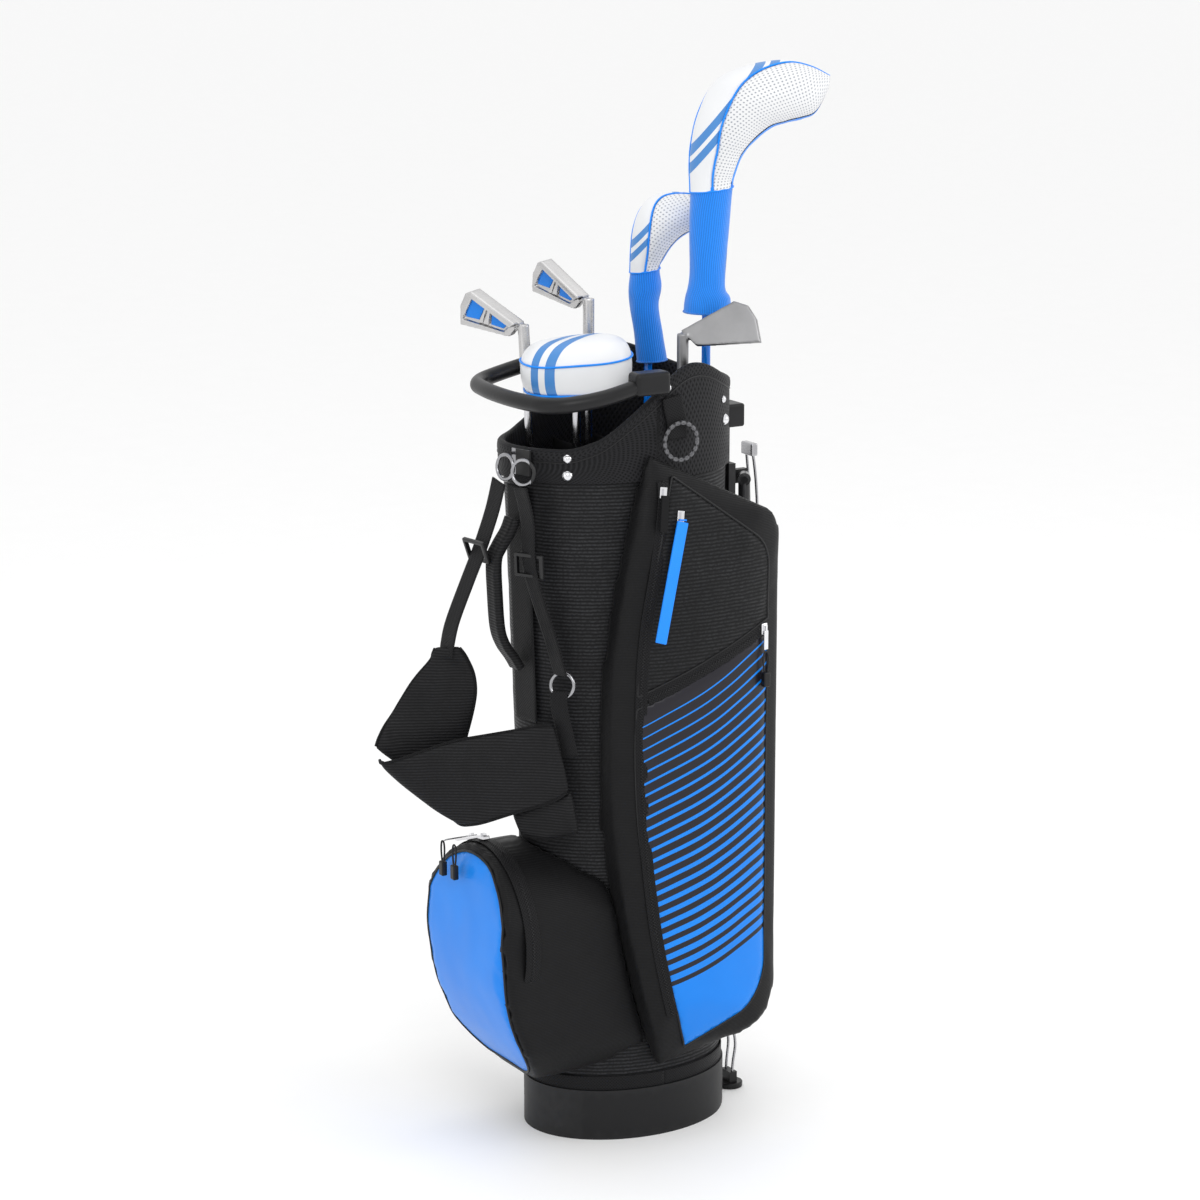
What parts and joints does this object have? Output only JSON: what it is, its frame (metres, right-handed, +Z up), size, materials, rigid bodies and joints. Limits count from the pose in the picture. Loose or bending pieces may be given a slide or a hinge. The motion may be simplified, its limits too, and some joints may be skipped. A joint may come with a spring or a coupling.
{
  "type": "golf club set",
  "caption": "Stand bag with a padded cuff, side and ball pockets, carrying straps and folding legs, holding sliding golf clubs, some in head covers.",
  "frame": {"origin": "centre of the base's underside, on the ground", "axes": "+Z up the bag; -Y towards the spine, ball pocket and straps; +Y towards the stand legs; +X towards the large striped pocket"},
  "size_m": [0.2935, 0.5146, 1.237],
  "materials": {
    "boot": "satin moulded rubber",
    "shell": "coated nylon ripstop with a light reflective fleck",
    "stay": "glass-filled rod",
    "cuff": "padded mesh over a moulded collar",
    "moulded": "moulded black plastic",
    "grip_bow": "soft-touch moulded handle",
    "rivet": "polished domes",
    "pouch": "padded coated fabric",
    "front_panel": "smooth bright blue coated fabric",
    "stripe_panel": "blue and black slanting stripes",
    "upper_panel": "smooth coated fabric",
    "zip": "coil zip tape",
    "slider": "plated slider",
    "cord": "braided cord",
    "toggle": "moulded toggle",
    "blue_pull": "moulded blue pull",
    "webbing": "ribbed woven webbing",
    "pad": "padded strap with ribbed weave",
    "hardware": "plated wire",
    "leg": "black anodised tube",
    "foot": "moulded rubber",
    "wire": "drawn wire",
    "club_grip": "textured rubber grip",
    "graphite": "painted graphite shaft",
    "steel_shaft": "bright steel shaft",
    "wood_head": "gloss painted crown",
    "iron_head": "satin brushed with blue recesses",
    "putter_head": "milled satin",
    "head_cover": "white quilted cover with blue trim and a blue knitted neck",
    "putter_cover": "white coated cover with blue trim"
  },
  "bodies": {
    "bag": {"base_cup": "boot", "bag_tube": "shell", "stay_rods": "stay", "top_cuff": "cuff", "club_divider": "moulded", "lift_handle": "grip_bow", "towel_loop": "webbing", "cuff_rivets": "rivet", "trunk_handle": "webbing", "ball_pocket": "pouch", "ball_pocket_panel": "front_panel", "apparel_pocket": "pouch", "upper_panel": "upper_panel", "striped_panel": "stripe_panel", "zip_tapes": "zip", "far_side_pocket": "pouch", "strap_webbing": "webbing", "strap_hardware": "hardware", "shoulder_pads": "pad", "leg_hub": "moulded"},
    "ball_zip_left": {"ball_zip_slider_left": "slider", "ball_pull_cord_left": "cord", "ball_pull_toggle_left": "toggle"},
    "ball_zip_right": {"ball_zip_slider_right": "slider", "ball_pull_cord_right": "cord", "ball_pull_toggle_right": "toggle"},
    "long_zip": {"long_zip_slider": "slider"},
    "long_pull": {"long_zip_puller": "webbing"},
    "side_zip": {"side_zip_slider": "slider"},
    "side_pull": {"side_zip_pull": "blue_pull"},
    "diagonal_zip": {"diagonal_zip_slider": "slider", "diagonal_pull_cord": "cord", "diagonal_pull_toggle": "toggle"},
    "stand_leg_left": {"leg_left": "leg", "leg_foot_left": "foot"},
    "stand_leg_right": {"leg_right": "leg", "leg_foot_right": "foot"},
    "actuator": {"actuator_wires": "wire", "actuator_foot": "foot"},
    "driver_club": {"driver_grip": "club_grip", "driver_shaft": "graphite", "driver_head": "wood_head", "driver_cover": "head_cover"},
    "fairway_club": {"fairway_grip": "club_grip", "fairway_shaft": "graphite", "fairway_head": "wood_head", "fairway_cover": "head_cover"},
    "putter_club": {"putter_grip": "club_grip", "putter_shaft": "steel_shaft", "putter_head": "putter_head", "putter_cover": "putter_cover"},
    "iron_long": {"iron_long_grip": "club_grip", "iron_long_shaft": "steel_shaft", "iron_long_head": "iron_head"},
    "iron_mid": {"iron_mid_grip": "club_grip", "iron_mid_shaft": "steel_shaft", "iron_mid_head": "iron_head"},
    "wedge_club": {"wedge_grip": "club_grip", "wedge_shaft": "steel_shaft", "wedge_head": "iron_head"}
  },
  "joints": [
    {"name": "driver_lift", "type": "slide", "parent": "bag", "child": "driver_club", "axis": [0, 0, 1], "range_m": [0, 0.87]},
    {"name": "fairway_lift", "type": "slide", "parent": "bag", "child": "fairway_club", "axis": [0, 0, 1], "range_m": [0, 0.87]},
    {"name": "putter_lift", "type": "slide", "parent": "bag", "child": "putter_club", "axis": [0, -0.0082, 1], "range_m": [0, 0.87]},
    {"name": "iron_long_lift", "type": "slide", "parent": "bag", "child": "iron_long", "axis": [0, 0.0047, 1], "range_m": [0, 0.87]},
    {"name": "iron_mid_lift", "type": "slide", "parent": "bag", "child": "iron_mid", "axis": [-0.0258, -0.0422, 0.9988], "range_m": [0, 0.87]},
    {"name": "wedge_lift", "type": "slide", "parent": "bag", "child": "wedge_club", "axis": [0.0035, 0, 1], "range_m": [0, 0.87]},
    {"name": "ball_zip_left_travel", "type": "hinge", "parent": "bag", "child": "ball_zip_left", "pos_m": [0, -0.179, 0.25287], "axis": [0, 1, 0], "range_deg": [-45, 0]},
    {"name": "ball_zip_right_travel", "type": "hinge", "parent": "bag", "child": "ball_zip_right", "pos_m": [0, -0.179, 0.25287], "axis": [0, 1, 0], "range_deg": [0, 72]},
    {"name": "long_zip_travel", "type": "slide", "parent": "bag", "child": "long_zip", "axis": [0.1565, -0.1937, -0.9685], "range_m": [0, 0.05]},
    {"name": "side_zip_travel", "type": "slide", "parent": "bag", "child": "side_zip", "axis": [0.1595, 0, -0.9872], "range_m": [0, 0.05]},
    {"name": "diagonal_zip_travel", "type": "slide", "parent": "bag", "child": "diagonal_zip", "axis": [0.2367, -0.8966, -0.3744], "range_m": [0, 0.035]},
    {"name": "long_pull_swing", "type": "hinge", "parent": "long_zip", "child": "long_pull", "pos_m": [0.12835, -0.022, 0.76747], "axis": [0, -1, 0], "range_deg": [0, 100]},
    {"name": "side_pull_swing", "type": "hinge", "parent": "side_zip", "child": "side_pull", "pos_m": [0.13288, -0.002, 0.73947], "axis": [0, -1, 0], "range_deg": [0, 100]},
    {"name": "leg_left_swing", "type": "hinge", "parent": "bag", "child": "stand_leg_left", "pos_m": [-0.018, 0.15, 0.752], "axis": [0.866, 0.5, 0], "range_deg": [0, 28], "stiffness_Nm_per_rad": 0.4},
    {"name": "leg_right_swing", "type": "hinge", "parent": "bag", "child": "stand_leg_right", "pos_m": [0.018, 0.15, 0.752], "axis": [0.866, -0.5, 0], "range_deg": [0, 28], "stiffness_Nm_per_rad": 0.4},
    {"name": "actuator_lift", "type": "slide", "parent": "bag", "child": "actuator", "axis": [0, 0, 1], "range_m": [0, 0.021]}
  ],
  "couplings": [
    {"joint": "leg_right_swing", "follows": "leg_left_swing", "ratio": 1},
    {"joint": "actuator_lift", "follows": "leg_left_swing", "m_per_rad": 0.041}
  ]
}
